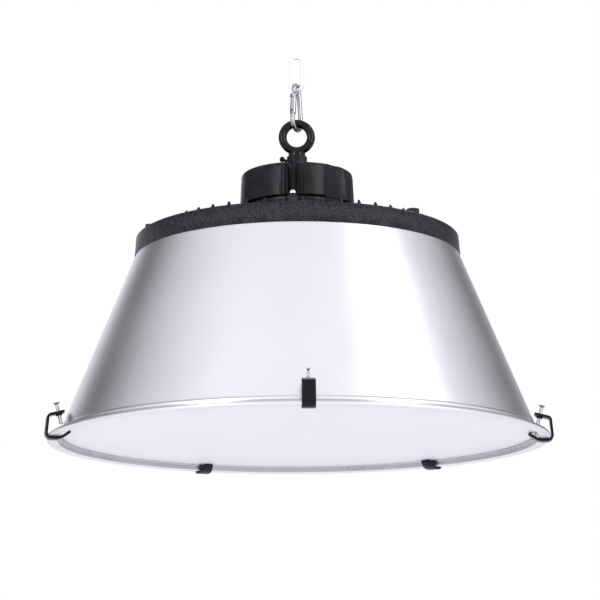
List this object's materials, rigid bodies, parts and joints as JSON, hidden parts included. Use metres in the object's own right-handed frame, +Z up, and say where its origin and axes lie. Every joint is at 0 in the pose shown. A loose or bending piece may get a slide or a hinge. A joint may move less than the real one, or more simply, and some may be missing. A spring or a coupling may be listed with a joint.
{
  "type": "high bay light",
  "caption": "Industrial high bay light: finned round heat sink with driver case above a spun conical shade and opal diffuser, hung by an eyebolt, snap hook and chain link.",
  "frame": {"origin": "inner top of the chain link, where the ceiling chain or a ceiling hook carries the lamp", "axes": "+Z up along the lamp's axis, -Y towards the front; the rest pose hangs straight down"},
  "size_m": [0.5336, 0.5338, 0.4307],
  "materials": {
    "chain_steel": "bright zinc plated",
    "hook_steel": "bright zinc plated",
    "eyebolt_black": "gloss black",
    "screw_steel": "bright zinc plated",
    "screw_black": "black oxide",
    "cast_black": "cast, textured black powder coat",
    "gasket_rubber": "soft matt rubber",
    "circuit_board": "lacquered board",
    "spacer_plastic": "moulded",
    "transformer_core": "ferrite",
    "capacitor_can": "sleeved can",
    "gland_plastic": "moulded nylon",
    "led_board_metal": "white solder mask",
    "led_phosphor": "silicone phosphor",
    "lens_clear": "clear moulded",
    "spun_aluminium": "satin, finely blasted",
    "opal_diffuser": "opal, matt",
    "clip_black": "satin black"
  },
  "bodies": {
    "chain": {"chain_link": "chain_steel"},
    "hook": {"snap_hook": "hook_steel", "gate_rivet": "hook_steel", "gate_spring": "hook_steel"},
    "gate": {"hook_gate": "hook_steel", "gate_pin": "hook_steel"},
    "lamp": {"eyebolt": "eyebolt_black", "eyebolt_washer": "screw_steel", "eyebolt_nut": "screw_steel", "locking_screw": "screw_black", "driver_case": "cast_black", "case_gasket": "gasket_rubber", "driver_base": "cast_black", "case_screws": "screw_steel", "driver_board": "circuit_board", "board_spacers": "spacer_plastic", "transformer": "transformer_core", "capacitors": "capacitor_can", "gland_body": "gland_plastic", "gland_seal": "gasket_rubber", "gland_nut": "gland_plastic", "gland_locknut": "gland_plastic", "heat_sink": "cast_black", "led_board": "led_board_metal", "led_chips": "led_phosphor", "lens_plate": "lens_clear", "lens_gasket": "gasket_rubber", "lens_ring": "screw_steel", "lens_screws": "screw_steel", "shade": "spun_aluminium", "shade_screws": "screw_steel", "diffuser": "opal_diffuser", "diffuser_gasket": "gasket_rubber", "clip_front": "clip_black", "clip_right": "clip_black", "clip_rear_right": "clip_black", "clip_rear_left": "clip_black", "clip_left": "clip_black", "clip_screws": "screw_steel"}
  },
  "joints": [
    {"name": "hook_swing", "type": "hinge", "parent": "chain", "child": "hook", "pos_m": [0, 0, -0.03595], "axis": [0.9063, -0.4226, 0], "range_deg": [-45, 45]},
    {"name": "lamp_swing", "type": "hinge", "parent": "hook", "child": "lamp", "pos_m": [0, 0, -0.08852], "axis": [0, 1, 0], "range_deg": [-45, 45]},
    {"name": "gate_hinge", "type": "hinge", "parent": "hook", "child": "gate", "pos_m": [-0.00297, -0.00637, -0.0427], "axis": [0.9063, -0.4226, 0], "range_deg": [0, 28], "stiffness_Nm_per_rad": 0.02, "springref_deg": -20.05, "deforming": ["gate_spring"]}
  ]
}
